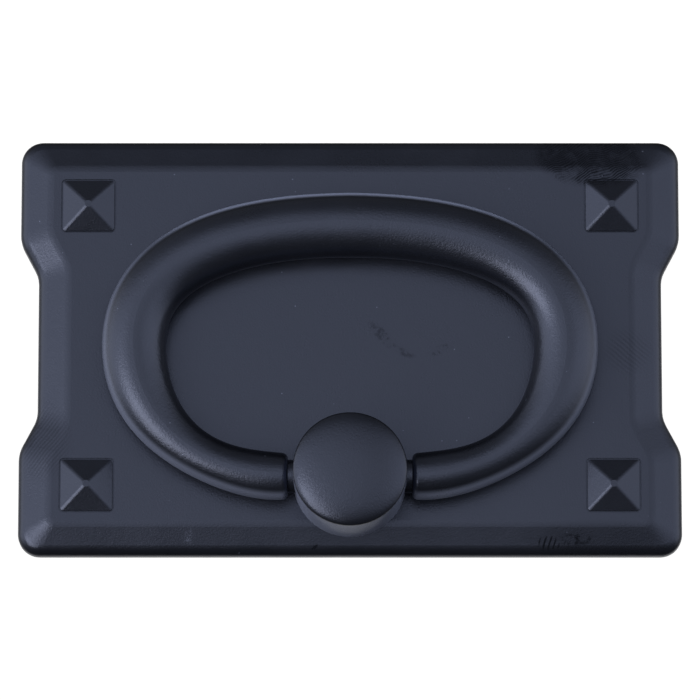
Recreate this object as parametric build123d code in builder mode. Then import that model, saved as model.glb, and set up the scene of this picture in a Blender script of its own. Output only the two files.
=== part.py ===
"""Mission-style ring pull for a drawer front: a bevelled backplate, a round post and a swinging ring.

The pull stands as it is mounted: +Z up, the front facing -Y, the back of the plate on the drawer at Y = 0.
The origin is on the fixing screw's axis, which is the axis of the post. All sizes are in millimetres.
"""

import os
from math import cos, pi, radians, tan

from build123d import *

# Backplate: outline
plate_width = 69.85
plate_height = 44.45
corner_radius = 2.3
waist_depth = 1.95
waist_length = 15.2
waist_slope = 28.0
waist_radius = 3.5

# Backplate: section from the back to the face
side_wall = 1.9
bevel_width = 3.2
bevel_rise = 1.0
bevel_corner_radius = 0.8
bevel_blend = 2.5
side_round = 1.4
back_rim = 2.4
back_recess = 1.0

# Corner pyramids, cast with the plate, each in a fine groove
pyramid_side = 5.4
pyramid_step = 0.2
pyramid_height = 1.15
pyramid_tip = 0.7
pyramid_round = 0.3
pyramid_gap = 1.35
groove_width = 0.2
groove_depth = 0.2

# Post: a turned stud with a domed end, staked into the plate from behind
post_diameter = 11.9
post_height = 7.9
post_crown = 1.2
crown_flat = 0.6
post_from_edge = 7.7
shank_diameter = 8.0
shank_clearance = 0.03
stake = 0.8
boss_wall = 2.2

# Fixing screw: tapping hole of a No. 8-32 machine screw, with a drill point
tap_diameter = 3.45
tap_depth = 8.0
drill_point = 118.0

# Ring: an open oval bow, thickest at the grip
ring_width = 52.0
ring_drop = 30.25
ring_widest_drop = 14.0
grip_fullness = 0.64
shoulder_fullness = 0.58
grip_width = 6.9
grip_thickness = 5.7
side_width = 6.65
side_thickness = 5.5
end_diameter = 4.8
taper_share = 0.6
end_round = 0.6
ring_rest_gap = 0.15

# Pivot: a pin on each ring end turns in a blind hole in the side of the post
pin_diameter = 3.5
pin_clearance = 0.05
pin_seat = 2.8
pin_end_gap = 0.2
ring_side_gap = 0.55

# Places that follow from the sizes above
face_height = side_wall + bevel_rise
pivot_height = face_height + grip_thickness / 2 + ring_rest_gap
post_radius = post_diameter / 2
shank_radius = shank_diameter / 2
plate_drop = plate_height / 2 - post_from_edge
pyramid_inset = bevel_width + pyramid_gap + pyramid_side / 2
pyramid_columns = plate_width - 2 * pyramid_inset
pyramid_rows = plate_height - 2 * pyramid_inset

# Planes: sketches on the plate and on the ring look out of the drawer, post profiles stand on its back
plate_plane = Plane(origin=(0, 0, -plate_drop), x_dir=(1, 0, 0), z_dir=(0, -1, 0))
ring_plane = Plane.XZ.offset(pivot_height)
profile_plane = Plane(origin=(0, 0, 0), x_dir=(1, 0, 0), z_dir=(0, 0, -1))


def eased(start, finish, share):
    """A size that changes from start to finish, level at both ends, as share runs from 0 to 1."""
    return start + (finish - start) * (1 - cos(pi * min(share, 1))) / 2


def plate_outline(height, inset, corner, ease):
    """The plate's outline at a height above its back, moved in by an inset and rounded at its corners."""
    half_width = plate_width / 2
    half_height = plate_height / 2
    waist_half = half_width - waist_depth
    waist_end = waist_length / 2
    shoulder = waist_end + waist_depth / tan(radians(waist_slope))
    with BuildSketch(plate_plane.offset(height)) as outline:
        with BuildLine():
            Polyline(
                (waist_half, 0),
                (waist_half, waist_end),
                (half_width, shoulder),
                (half_width, half_height),
                (0, half_height),
            )
            mirror(about=Plane.YZ)
            mirror(about=Plane.XZ)
        make_face()
        if inset:
            offset(amount=-inset, kind=Kind.INTERSECTION)
        rows = outline.vertices().group_by(Axis.Y)
        fillet(rows[1] + rows[2] + rows[-3] + rows[-2], ease)
        rows = outline.vertices().group_by(Axis.Y)
        fillet(rows[0] + rows[-1], corner)
    return outline.sketch


# One pyramid, standing on a short step in its groove, its ridges and tip slightly rounded
with BuildPart() as pyramid:
    with BuildSketch(Plane.XY.offset(-groove_depth)):
        RectangleRounded(pyramid_side, pyramid_side, pyramid_round)
    extrude(amount=groove_depth + pyramid_step)
    with BuildSketch(Plane.XY.offset(pyramid_step)):
        RectangleRounded(pyramid_side, pyramid_side, pyramid_round)
    with BuildSketch(Plane.XY.offset(pyramid_step + pyramid_height)):
        RectangleRounded(pyramid_tip, pyramid_tip, pyramid_round)
    loft()

# Backplate: plain side wall, bevelled rim, flat face, pyramids, and a relieved back with a boss
with BuildPart() as backplate:
    extrude(plate_outline(0, 0, corner_radius, waist_radius), amount=side_wall)
    loft(
        [
            plate_outline(side_wall, 0, corner_radius, waist_radius),
            plate_outline(face_height, bevel_width, bevel_corner_radius, waist_radius),
        ],
        ruled=True,
    )
    fillet(backplate.faces().sort_by(Axis.Y)[0].edges(), bevel_blend)
    fillet(backplate.edges().filter_by_position(Axis.Y, -side_wall, -side_wall), side_round)
    with BuildSketch(plate_plane.offset(face_height)):
        with GridLocations(pyramid_columns, pyramid_rows, 2, 2):
            groove_side = pyramid_side + 2 * groove_width
            RectangleRounded(groove_side, groove_side, pyramid_round + groove_width)
    extrude(amount=-groove_depth, mode=Mode.SUBTRACT)
    with Locations(plate_plane.offset(face_height)):
        with GridLocations(pyramid_columns, pyramid_rows, 2, 2):
            add(pyramid.part)
    extrude(
        plate_outline(0, back_rim, bevel_corner_radius, waist_radius),
        amount=back_recess,
        mode=Mode.SUBTRACT,
    )
    with BuildSketch(Plane.XZ):
        Circle(shank_radius + stake + boss_wall)
    extrude(amount=back_recess)
    seat_radius = shank_radius + shank_clearance
    with BuildSketch(profile_plane):
        Polygon(
            (0, 0),
            (seat_radius + stake, 0),
            (seat_radius, stake),
            (seat_radius, face_height),
            (0, face_height),
            align=None,
        )
    revolve(axis=Axis.Y, mode=Mode.SUBTRACT)

# Post: turned profile with the tapped hole in its back, then a blind pivot hole in each side
with BuildPart() as post:
    rim_height = face_height + post_height
    tap_radius = tap_diameter / 2
    tap_tip = tap_depth + tap_radius / tan(radians(drill_point / 2))
    crown_radius = crown_flat / 2
    with BuildSketch(profile_plane):
        with BuildLine():
            dome = EllipticalCenterArc(
                center=(crown_radius, rim_height),
                x_radius=post_radius - crown_radius,
                y_radius=post_crown,
                start_angle=0,
                arc_size=90,
            )
            Polyline(
                dome @ 0,
                (post_radius, face_height),
                (shank_radius, face_height),
                (shank_radius, stake),
                (shank_radius + stake, 0),
                (tap_radius, 0),
                (tap_radius, tap_depth),
                (0, tap_tip),
                (0, rim_height + post_crown),
                dome @ 1,
            )
        make_face()
    revolve(axis=Axis.Y)
    bore_depth = pin_seat + pin_end_gap
    for side in (1, -1):
        bore_plane = Plane(
            origin=(side * (post_radius - bore_depth), -pivot_height, 0),
            x_dir=(0, 1, 0),
            z_dir=(side, 0, 0),
        )
        with BuildSketch(bore_plane):
            Circle(pin_diameter / 2 + pin_clearance)
        extrude(amount=bore_depth, mode=Mode.SUBTRACT)

# Ring: half the bow swept through oval sections, with its pin, then mirrored
with BuildPart() as ring:
    half_span = (ring_width - side_width) / 2
    grip_drop = ring_drop - grip_width / 2
    end_reach = post_radius + ring_side_gap
    with BuildLine(ring_plane) as bow:
        grip = Bezier(
            (0, -grip_drop),
            (grip_fullness * half_span, -grip_drop),
            (half_span, -ring_widest_drop - grip_fullness * (grip_drop - ring_widest_drop)),
            (half_span, -ring_widest_drop),
        )
        shoulder = Bezier(
            (half_span, -ring_widest_drop),
            (half_span, -ring_widest_drop * (1 - shoulder_fullness)),
            (end_reach + shoulder_fullness * (half_span - end_reach), 0),
            (end_reach, 0),
        )
    steps = 4
    for step in range(steps + 1):
        share = step / steps
        with BuildSketch(Plane(origin=grip @ share, x_dir=(0, -1, 0), z_dir=grip % share)):
            Ellipse(
                eased(grip_thickness, side_thickness, share) / 2,
                eased(grip_width, side_width, share) / 2,
            )
    for step in range(1, steps + 1):
        share = step / steps
        with BuildSketch(Plane(origin=shoulder @ share, x_dir=(0, -1, 0), z_dir=shoulder % share)):
            Ellipse(
                eased(side_thickness, end_diameter, share / taper_share) / 2,
                eased(side_width, end_diameter, share / taper_share) / 2,
            )
    sweep(path=bow.line, multisection=True)
    end_face = ring.faces().filter_by(Axis.X).sort_by(Axis.Z)[-1]
    fillet(end_face.edges(), end_round)
    pin_plane = Plane(origin=(end_reach, -pivot_height, 0), x_dir=(0, 1, 0), z_dir=(-1, 0, 0))
    with BuildSketch(pin_plane):
        Circle(pin_diameter / 2)
    extrude(amount=ring_side_gap + pin_seat)
    mirror(about=Plane.YZ)

backplate.part.label = "backplate"
post.part.label = "post"
ring.part.label = "ring"

os.makedirs("parts", exist_ok=True)
export_step(backplate.part, "parts/backplate.step")
export_step(post.part, "parts/post.step")
export_step(ring.part, "parts/ring.step")
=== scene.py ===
"""A satin black ring pull for a drawer: the finish of its backplate, post and ring, and the studio."""

from math import pi, radians

import bmesh
import bpy
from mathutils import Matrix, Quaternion, Vector


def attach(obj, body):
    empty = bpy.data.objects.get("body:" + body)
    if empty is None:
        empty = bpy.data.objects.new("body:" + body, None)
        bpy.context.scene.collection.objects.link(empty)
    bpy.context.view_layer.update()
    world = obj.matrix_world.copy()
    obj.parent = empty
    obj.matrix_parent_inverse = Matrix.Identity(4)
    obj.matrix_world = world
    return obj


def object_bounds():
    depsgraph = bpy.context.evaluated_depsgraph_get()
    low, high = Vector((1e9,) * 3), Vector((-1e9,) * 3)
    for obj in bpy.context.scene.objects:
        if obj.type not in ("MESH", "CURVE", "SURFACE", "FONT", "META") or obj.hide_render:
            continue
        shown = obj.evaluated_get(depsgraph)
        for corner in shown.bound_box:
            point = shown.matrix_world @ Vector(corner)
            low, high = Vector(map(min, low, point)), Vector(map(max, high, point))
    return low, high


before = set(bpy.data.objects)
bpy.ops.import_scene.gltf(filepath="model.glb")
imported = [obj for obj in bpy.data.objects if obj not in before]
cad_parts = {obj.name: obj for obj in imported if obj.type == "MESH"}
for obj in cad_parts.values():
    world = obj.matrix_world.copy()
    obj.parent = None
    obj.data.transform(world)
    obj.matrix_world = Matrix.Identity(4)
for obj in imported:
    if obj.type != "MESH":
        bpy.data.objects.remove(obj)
cad_box = [list(corner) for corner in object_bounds()]

# Backplate: one zinc die casting, bevelled all round and waisted at its ends, with a pyramid in each corner.
# It is sprayed with satin black enamel, which keeps the fine grain of the casting.
# Handling has left greasy prints and a film on it, smears near the middle, a nick, a scuff and some dust.
mm = 0.001
enamel_black = (0.0056, 0.0065, 0.0098)
enamel_sheen = (0.58, 0.67, 1.0, 1)
satin_rough = (0.29, 0.33)
pore_rough = 0.02
flow_share = 0.6
dust_tone = 12.0
plate_grain = 1.5e-5
plate_specks = 0.5
plate_shine = 0.66
grease_smooth = 0.1
scuff_tone = 5.0
scuff_rough = 0.1
back_tone = (0.6, 2.8)
back_rough = 0.15


def plug(tree, socket, value):
    """Sets a socket to a value, or links it to another node's output."""
    if isinstance(value, bpy.types.NodeSocket):
        tree.links.new(value, socket)
    else:
        socket.default_value = value


def sums(tree, operation, *values):
    """The output of one Math node."""
    node = tree.nodes.new("ShaderNodeMath")
    node.operation = operation
    for socket, value in zip(node.inputs, values):
        plug(tree, socket, value)
    return node.outputs["Value"]


def spread(tree, value, low, high, start=0.0, finish=1.0):
    """A value stretched from the range low to high onto start to finish, and held at both ends."""
    node = tree.nodes.new("ShaderNodeMapRange")
    node.interpolation_type = "SMOOTHSTEP"
    plug(tree, node.inputs["Value"], value)
    plug(tree, node.inputs["From Min"], low)
    plug(tree, node.inputs["From Max"], high)
    plug(tree, node.inputs["To Min"], start)
    plug(tree, node.inputs["To Max"], finish)
    return node.outputs["Result"]


def noise(tree, place, scale, detail=2.0, roughness=0.5):
    """A cloudy pattern from 0 to 1, with so many clouds to the metre."""
    node = tree.nodes.new("ShaderNodeTexNoise")
    plug(tree, node.inputs["Vector"], place)
    plug(tree, node.inputs["Scale"], scale)
    plug(tree, node.inputs["Detail"], detail)
    plug(tree, node.inputs["Roughness"], roughness)
    return node.outputs["Fac"]


def turned(tree, place, centre, size, turn):
    """Places on the face of the pull, measured from a centre in so many millimetres and turned in degrees."""
    node = tree.nodes.new("ShaderNodeMapping")
    node.vector_type = "TEXTURE"
    plug(tree, node.inputs["Vector"], place)
    plug(tree, node.inputs["Location"], (centre[0] * mm, 0, centre[1] * mm))
    plug(tree, node.inputs["Rotation"], (0, radians(turn), 0))
    plug(tree, node.inputs["Scale"], (size[0] * mm, 1, size[1] * mm))
    return node.outputs["Vector"]


def patch(tree, place, centre, size, turn=0.0, core=0.3):
    """A soft oval spot on the face of the pull: 1 in its core, 0 outside its edge."""
    node = tree.nodes.new("ShaderNodeVectorMath")
    node.operation = "LENGTH"
    tree.links.new(turned(tree, place, centre, size, turn), node.inputs[0])
    return spread(tree, node.outputs["Value"], 1.0, core)


def ridges(tree, place, centre, pitch, turn, bend):
    """The skin ridges of a fingerprint: bent stripes from 0 to 1, so many millimetres apart."""
    node = tree.nodes.new("ShaderNodeTexWave")
    node.wave_type = "BANDS"
    node.bands_direction = "X"
    # The pitch that the node gives at a scale of 1
    plain_pitch = 2 * pi / 20
    plug(tree, node.inputs["Vector"], turned(tree, place, centre, (1, 1), turn))
    plug(tree, node.inputs["Scale"], plain_pitch / pitch)
    plug(tree, node.inputs["Distortion"], bend)
    plug(tree, node.inputs["Detail"], 2.0)
    plug(tree, node.inputs["Detail Scale"], 0.25)
    return node.outputs["Fac"]


def dust(tree, place, scale, share, size):
    """Loose specks in a share of the cells of a scattered grid: 1 in their middle, 0 outside their edge."""
    node = tree.nodes.new("ShaderNodeTexVoronoi")
    plug(tree, node.inputs["Vector"], place)
    plug(tree, node.inputs["Scale"], scale)
    chosen = tree.nodes.new("ShaderNodeSeparateColor")
    tree.links.new(node.outputs["Color"], chosen.inputs["Color"])
    near = spread(tree, node.outputs["Distance"], size, size / 2)
    return sums(tree, "MULTIPLY", near, sums(tree, "LESS_THAN", chosen.outputs["Red"], share))


def enamel(name, grain, specks):
    """Satin black enamel: its material, and the tone, roughness and relief to lay marks over."""
    material = bpy.data.materials.new(name)
    material.use_nodes = True
    tree = material.node_tree
    place = tree.nodes.new("ShaderNodeTexCoord").outputs["Object"]
    clouds = noise(tree, place, scale=140, detail=3.0)
    pores = noise(tree, place, scale=5200, roughness=0.6)
    flow = noise(tree, place, scale=900)
    worn = spread(tree, pores, low=0.62, high=0.78, finish=specks)
    loose = sums(tree, "MULTIPLY", dust(tree, place, scale=700, share=0.3, size=0.06), dust_tone)
    uneven = spread(tree, clouds, low=0.3, high=0.7, start=0.9, finish=1.1)
    satin = spread(tree, clouds, 0.35, 0.65, *satin_rough)
    open_pores = spread(tree, pores, low=0.3, high=0.7, start=-pore_rough, finish=pore_rough)
    coats = sums(tree, "ADD", pores, sums(tree, "MULTIPLY", flow, flow_share))
    return material, {
        "place": place,
        "pores": pores,
        "tone": sums(tree, "ADD", sums(tree, "ADD", worn, loose), uneven),
        "rough": sums(tree, "ADD", satin, open_pores),
        "relief": sums(tree, "MULTIPLY", coats, grain),
    }


def lay(tree, layers, layer, operation, mark, depth):
    """Adds a mark of some depth to a layer of the enamel, or takes it away."""
    layers[layer] = sums(tree, operation, layers[layer], sums(tree, "MULTIPLY", mark, depth))


def coat(material, layers, shine):
    """Joins the tone, roughness and relief of an enamel to its shader, and sets its shine."""
    tree = material.node_tree
    shader = tree.nodes["Principled BSDF"]
    colour = tree.nodes.new("ShaderNodeVectorMath")
    colour.operation = "SCALE"
    colour.inputs[0].default_value = enamel_black
    plug(tree, colour.inputs["Scale"], layers["tone"])
    tree.links.new(colour.outputs["Vector"], shader.inputs["Base Color"])
    tree.links.new(layers["rough"], shader.inputs["Roughness"])
    bump = tree.nodes.new("ShaderNodeBump")
    bump.inputs["Distance"].default_value = 1.0
    bump.inputs["Strength"].default_value = 1.0
    tree.links.new(layers["relief"], bump.inputs["Height"])
    tree.links.new(bump.outputs["Normal"], shader.inputs["Normal"])
    shader.inputs["Specular IOR Level"].default_value = shine
    shader.inputs["Specular Tint"].default_value = enamel_sheen
    return shader


plate_enamel, layers = enamel("plate_enamel", plate_grain, plate_specks)
tree = plate_enamel.node_tree
place = layers["place"]
# A thumb's print on a long bevel, which fills the satin with grease and darkens it
print_patch = patch(tree, place, centre=(-25.5, -34.8), size=(6.6, 3.6), turn=6, core=0.7)
print_lines = ridges(tree, place, centre=(-25.5, -36.0), pitch=0.26, turn=62, bend=30.0)
print_clouds = noise(tree, place, scale=900, detail=3.0, roughness=0.6)
print_blots = spread(tree, print_clouds, low=0.35, high=0.6, start=0.45)
print_skin = spread(tree, print_lines, low=0.2, high=0.8, start=0.45, finish=0.95)
print_mark = sums(tree, "MULTIPLY", print_patch, sums(tree, "MULTIPLY", print_blots, print_skin))
# A faint print across the bevel of one end, and another near the waist of the other end
graze_centre = (32.3, -4.2)
graze_patch = patch(tree, place, graze_centre, size=(3.6, 5.2), core=0.4)
graze_lines = ridges(tree, place, graze_centre, pitch=0.33, turn=38, bend=5.0)
graze_mark = sums(tree, "MULTIPLY", graze_patch, spread(tree, graze_lines, low=0.3, high=0.7, finish=0.24))
waist_centre = (-29.3, -13.9)
waist_patch = patch(tree, place, waist_centre, size=(3.4, 3.2))
waist_lines = ridges(tree, place, waist_centre, pitch=0.4, turn=-52, bend=6.0)
waist_mark = sums(tree, "MULTIPLY", waist_patch, spread(tree, waist_lines, low=0.3, high=0.7, finish=0.2))
end_marks = sums(tree, "MAXIMUM", graze_mark, waist_mark)
# Blotched smears in the middle of the face: the centre, size and turn of each
smear_places = (
    ((-3.5, -15.5), (2.6, 0.9), 45),
    ((-5.8, -13.7), (1.4, 0.6), 22),
    ((-9.5, -14.0), (1.6, 0.6), -24),
)
smear_depth = 0.4
smear_patch = 0.0
for centre, size, turn in smear_places:
    smear_patch = sums(tree, "MAXIMUM", smear_patch, patch(tree, place, centre, size, turn))
blot_clouds = noise(tree, place, scale=1500, roughness=0.6)
blots = spread(tree, blot_clouds, low=0.45, high=0.62, start=0.08)
smear_mark = sums(tree, "MULTIPLY", smear_patch, sums(tree, "MULTIPLY", blots, smear_depth))
# A thin greasy film on the other long bevel, with dark blots and strokes in it, and a nick
film_depth = 0.22
film_patch = patch(tree, place, centre=(-26.0, 6.0), size=(10.0, 2.2))
film_mark = sums(tree, "MULTIPLY", film_patch, film_depth)
blot_patch = patch(tree, place, centre=(-23.8, 6.1), size=(2.4, 0.9))
blot_mark = sums(tree, "MAXIMUM", film_mark, sums(tree, "MULTIPLY", blot_patch, blots))
stroke_centre = (-21.2, 6.5)
stroke_patch = patch(tree, place, stroke_centre, size=(2.6, 1.0), core=0.4)
stroke_lines = ridges(tree, place, stroke_centre, pitch=0.5, turn=8, bend=10.0)
stroke_breaks = spread(tree, noise(tree, place, scale=600), low=0.4, high=0.55, start=0.15)
stroke_depth = sums(tree, "MULTIPLY", stroke_breaks, spread(tree, stroke_lines, low=0.5, high=0.9))
stroke_mark = sums(tree, "MAXIMUM", blot_mark, sums(tree, "MULTIPLY", stroke_patch, stroke_depth))
nick_depth = 0.8
nick_patch = patch(tree, place, centre=(3.7, 6.9), size=(0.55, 0.22), turn=-35)
nick_mark = sums(tree, "MULTIPLY", nick_patch, nick_depth)
bevel_marks = sums(tree, "MAXIMUM", sums(tree, "MAXIMUM", stroke_mark, nick_mark), print_mark)
# A pale scuff on the same bevel
scuff_patch = patch(tree, place, centre=(16.9, 5.9), size=(0.6, 1.1), turn=10)
scuff_mark = sums(tree, "MULTIPLY", scuff_patch, spread(tree, layers["pores"], low=0.45, high=0.65))
# All of these are on the front, and on the back the spray is thin, dry and uneven over the casting's skin
facing = tree.nodes.new("ShaderNodeSeparateXYZ")
tree.links.new(tree.nodes.new("ShaderNodeTexCoord").outputs["Normal"], facing.inputs["Vector"])
front = spread(tree, facing.outputs["Y"], low=0.0, high=-0.3)
back = spread(tree, facing.outputs["Y"], low=0.4, high=0.7)
marks = sums(tree, "MAXIMUM", sums(tree, "MAXIMUM", bevel_marks, smear_mark), end_marks)
marks = sums(tree, "MULTIPLY", marks, front)
scuff_mark = sums(tree, "MULTIPLY", scuff_mark, front)
drift_clouds = noise(tree, place, scale=320, detail=4.0, roughness=0.65)
drift = sums(tree, "ADD", spread(tree, drift_clouds, 0.35, 0.65, *back_tone), layers["pores"])
lay(tree, layers, "tone", "ADD", scuff_mark, scuff_tone)
lay(tree, layers, "rough", "ADD", scuff_mark, scuff_rough)
lay(tree, layers, "rough", "SUBTRACT", marks, grease_smooth)
lay(tree, layers, "tone", "ADD", back, drift)
lay(tree, layers, "rough", "ADD", back, back_rough)
shader = coat(plate_enamel, layers, plate_shine)
dulled = sums(tree, "MULTIPLY", sums(tree, "SUBTRACT", 1.0, marks), plate_shine)
tree.links.new(dulled, shader.inputs["Specular IOR Level"])
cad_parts["backplate"].material_slots[0].material = plate_enamel

# Post: a turned stud with a domed end, staked into the plate from behind and tapped for the fixing screw.
# It has the same enamel as the plate, over the fine marks that turning left round its wall.
# The wall, from the plate up to the rim of the dome, is painted paler than the dome: a painted reflection of
# the light the wall catches.
post_grain = 2e-5
post_specks = 0.7
post_radius = 5.95
post_rim = 10.8
rim_fade = 0.4
wall_fade = (0.12, 0.04)
wall_painted_reflection = 22.0
turning_pitch = 0.22
turning_depth = 0.012
post_enamel, layers = enamel("post_enamel", post_grain, post_specks)
tree = post_enamel.node_tree
axes = tree.nodes.new("ShaderNodeSeparateXYZ")
tree.links.new(layers["place"], axes.inputs["Vector"])
across = sums(tree, "POWER", axes.outputs["X"], 2.0)
along = sums(tree, "POWER", axes.outputs["Z"], 2.0)
radius = sums(tree, "SQRT", sums(tree, "ADD", across, along))
on_side = spread(tree, radius, *((post_radius - depth) * mm for depth in wall_fade))
below_rim = spread(tree, axes.outputs["Y"], low=-post_rim * mm, high=(rim_fade - post_rim) * mm)
on_wall = sums(tree, "MULTIPLY", on_side, below_rim)
wave = sums(tree, "SINE", sums(tree, "MULTIPLY", axes.outputs["Y"], 2 * pi / (turning_pitch * mm)))
lay(tree, layers, "relief", "ADD", sums(tree, "MULTIPLY", wave, on_wall), turning_depth * mm / 2)
# Painted reflection: the wall's colour is lifted to stand in for the light that its turned surface catches
lay(tree, layers, "tone", "ADD", on_wall, wall_painted_reflection)
coat(post_enamel, layers, plate_shine)
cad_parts["post"].material_slots[0].material = post_enamel

# Thread: the ridge that the tap left in the post's hole for the fixing screw, 32 turns to the inch.
# It winds in from just inside the hole's mouth, under a thin drift of the same enamel.
bore_radius = 1.725
thread_pitch = 0.794
thread_mouth = 0.45
thread_turns = 9
turn_steps = 24
ridge_height = 0.24
ridge_sink = 0.02
ridge_foot = 0.3
ridge_crest = 0.06
scene = bpy.context.scene
shape = bmesh.new()
corners = []
for reach, rise in (
    (bore_radius + ridge_sink, -ridge_foot),
    (bore_radius - ridge_height, -ridge_crest),
    (bore_radius - ridge_height, ridge_crest),
    (bore_radius + ridge_sink, ridge_foot),
):
    corners.append(shape.verts.new((reach * mm, (rise - thread_mouth) * mm, 0)))
section = shape.faces.new(corners)
bmesh.ops.spin(
    shape,
    geom=[section, *section.edges, *section.verts],
    cent=(0, 0, 0),
    axis=(0, 1, 0),
    dvec=(0, -thread_pitch * mm / turn_steps, 0),
    angle=2 * pi * thread_turns,
    steps=turn_steps * thread_turns,
)
bmesh.ops.recalc_face_normals(shape, faces=shape.faces)
thread_mesh = bpy.data.meshes.new("thread")
shape.to_mesh(thread_mesh)
shape.free()
thread_mesh.materials.append(post_enamel)
thread = bpy.data.objects.new("thread", thread_mesh)
scene.collection.objects.link(thread)
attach(thread, "mounting")

# Ring: one oval bow cast with a pin on each end, which turns in the post.
# Its enamel is a little grainier and shinier than the plate's. Along the trimmed seam of its mould, which
# runs round the outside at half its thickness,
# it is made paler: partly a rubbed seam, partly a painted highlight along the outer rim, which is strongest
# at the grip.
ring_grain = 2.2e-5
ring_specks = 1.2
ring_shine = 0.75
ring_middle = Vector((0, -5.9, -13.0)) * mm
seam_edge = 1.8
seam_core = 1.1
seam_and_rim_highlight_tone = (15.0, 50.0)
# Millimetres from the ring's middle over which the pale seam and painted rim highlight come in: at the grip,
# outside and off the pins
grip_fade = (-11, -17)
outer_fade = (2, 6)
pin_end_fade = (6.5, 6.9)
pin_foot_fade = (10, 8)
ring_enamel, layers = enamel("ring_enamel", ring_grain, ring_specks)
tree = ring_enamel.node_tree
outwards = tree.nodes.new("ShaderNodeVectorMath")
outwards.operation = "SUBTRACT"
tree.links.new(layers["place"], outwards.inputs[0])
outwards.inputs[1].default_value = ring_middle
facing = tree.nodes.new("ShaderNodeVectorMath")
facing.operation = "DOT_PRODUCT"
tree.links.new(outwards.outputs["Vector"], facing.inputs[0])
tree.links.new(tree.nodes.new("ShaderNodeTexCoord").outputs["Normal"], facing.inputs[1])
axes = tree.nodes.new("ShaderNodeSeparateXYZ")
tree.links.new(outwards.outputs["Vector"], axes.inputs["Vector"])
seam = spread(tree, sums(tree, "ABSOLUTE", axes.outputs["Y"]), seam_edge * mm, seam_core * mm)
outside = spread(tree, facing.outputs["Value"], *(reach * mm for reach in outer_fade))
past_pins = spread(tree, sums(tree, "ABSOLUTE", axes.outputs["X"]), *(reach * mm for reach in pin_end_fade))
below_pins = spread(tree, axes.outputs["Z"], *(reach * mm for reach in pin_foot_fade))
off_pins = sums(tree, "MAXIMUM", past_pins, below_pins)
# Painted highlight: the pale seam brightens towards the grip and stays on the outer side, where the rim
# catches light; only part of it is a rubbed seam
seam_and_painted_highlight = spread(tree, axes.outputs["Z"], *(reach * mm for reach in grip_fade), *seam_and_rim_highlight_tone)
rubbed_seam_and_rim = sums(tree, "MULTIPLY", sums(tree, "MULTIPLY", seam, outside), off_pins)
lay(tree, layers, "tone", "ADD", rubbed_seam_and_rim, seam_and_painted_highlight)
coat(ring_enamel, layers, ring_shine)
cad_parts["ring"].material_slots[0].material = ring_enamel

# Floor: a plain pale sheet well below the pull, which the camera sees as white.
# It is kept out of the pull's light, so that only the room and the lamp show in the enamel.
floor_drop = 0.1
floor_size = 3.0
floor_pale = (0.8, 0.8, 0.8, 1)
floor_glow = 0.85
shape = bmesh.new()
bmesh.ops.create_grid(shape, x_segments=1, y_segments=1, size=floor_size)
bmesh.ops.translate(shape, verts=shape.verts, vec=(0, 0, cad_box[0][2] - floor_drop))
floor_mesh = bpy.data.meshes.new("floor")
shape.to_mesh(floor_mesh)
shape.free()
floor = bpy.data.objects.new("floor", floor_mesh)
scene.collection.objects.link(floor)
floor.visible_glossy = False
floor.visible_diffuse = False
floor_paint = bpy.data.materials.new("pale_floor")
floor_paint.use_nodes = True
tree = floor_paint.node_tree
shader = tree.nodes["Principled BSDF"]
shader.inputs["Base Color"].default_value = floor_pale
shader.inputs["Roughness"].default_value = 0.9
shader.inputs["Specular IOR Level"].default_value = 0.0
shader.inputs["Emission Color"].default_value = (1, 1, 1, 1)
seen = tree.nodes.new("ShaderNodeLightPath").outputs["Is Camera Ray"]
tree.links.new(sums(tree, "MULTIPLY", seen, floor_glow), shader.inputs["Emission Strength"])
floor_mesh.materials.append(floor_paint)

# Room: a broad pale band of light in front of the pull and to its sides, dim above, below and behind it.
# Left and right are those of the picture, and a weak light comes from the table behind the plate.
world = bpy.data.worlds.new("studio")
scene.world = world
world.use_nodes = True
tree = world.node_tree
towards = tree.nodes.new("ShaderNodeSeparateXYZ")
tree.links.new(tree.nodes.new("ShaderNodeTexCoord").outputs["Generated"], towards.inputs["Vector"])
sideways, inwards, upwards = (towards.outputs[axis] for axis in "XYZ")
high_light = spread(tree, upwards, low=1.0, high=0.3, start=0.06, finish=0.2)
upper_edge = sums(tree, "ADD", spread(tree, upwards, low=0.6, high=0.06, finish=1.2), high_light)
lower_edge = spread(tree, upwards, low=-0.2, high=-0.8, start=1.0, finish=0.15)
left_side = spread(tree, sideways, low=0.15, high=0.7, start=1.0, finish=1.3)
gap = spread(tree, sideways, low=0.08, high=-0.18, start=1.08, finish=0.72)
right_side = spread(tree, sideways, low=-0.2, high=-0.6, start=1.0, finish=1.55)
behind = spread(tree, inwards, low=0.0, high=0.4, start=1.0, finish=0.2)
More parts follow.
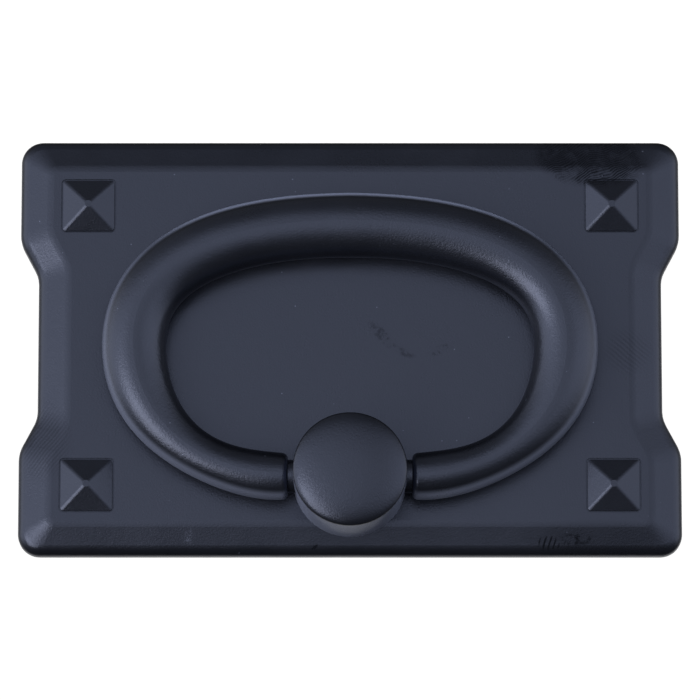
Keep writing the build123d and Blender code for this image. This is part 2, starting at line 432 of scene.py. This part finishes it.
table = spread(tree, inwards, low=0.6, high=0.9, finish=0.4)
edges = sums(tree, "MULTIPLY", upper_edge, lower_edge)
sides = sums(tree, "MULTIPLY", sums(tree, "MULTIPLY", left_side, right_side), gap)
band = sums(tree, "MULTIPLY", sums(tree, "MULTIPLY", edges, sides), behind)
glow = sums(tree, "ADD", band, table)
seen = tree.nodes.new("ShaderNodeLightPath").outputs["Is Camera Ray"]
tree.links.new(sums(tree, "MAXIMUM", glow, seen), tree.nodes["Background"].inputs["Strength"])
tree.nodes["Background"].inputs["Color"].default_value = (1, 1, 1, 1)

# Key lamp: a warm soft box in front of the pull, above it and to one side.
# Its power follows from its glow and its area, and the camera doesn't see it.
middle = Vector((0, 0, (cad_box[0][2] + cad_box[1][2]) / 2))
key_distance = 0.72
key_place = Vector((0.578, -0.731, 0.361)) * key_distance
key_size = (0.42, 0.46)
key_glow = 3.6
key_colour = (1.0, 0.94, 0.86)
lamp = bpy.data.lights.new("key", "AREA")
lamp.shape = "RECTANGLE"
lamp.size, lamp.size_y = key_size
lamp.color = key_colour
lamp.energy = 4 * key_glow * key_size[0] * key_size[1]
key = bpy.data.objects.new("key", lamp)
scene.collection.objects.link(key)
key.location = middle + key_place
key.rotation_mode = "QUATERNION"
key.rotation_quaternion = key_place.to_track_quat("Z", "Y")
key.visible_camera = False

# Camera: well in front of the pull and a little above it, with a long lens.
# It is turned upside down, because the pull lies that way in the picture.
lens = 292
sensor = 36
distance = 0.6016
tilt = 10.5
nearest = 0.01
camera_data = bpy.data.cameras.new("camera")
camera_data.lens = lens
camera_data.sensor_width = sensor
camera_data.clip_start = nearest
camera = bpy.data.objects.new("camera", camera_data)
scene.collection.objects.link(camera)
aim = Vector((0, -1, 0))
aim.rotate(Quaternion((1, 0, 0), radians(-tilt)))
camera.location = middle + aim * distance
camera.rotation_mode = "QUATERNION"
camera.rotation_quaternion = aim.to_track_quat("Z", "Y") @ Quaternion((0, 0, 1), pi)
scene.camera = camera
scene.view_settings.view_transform = "Standard"
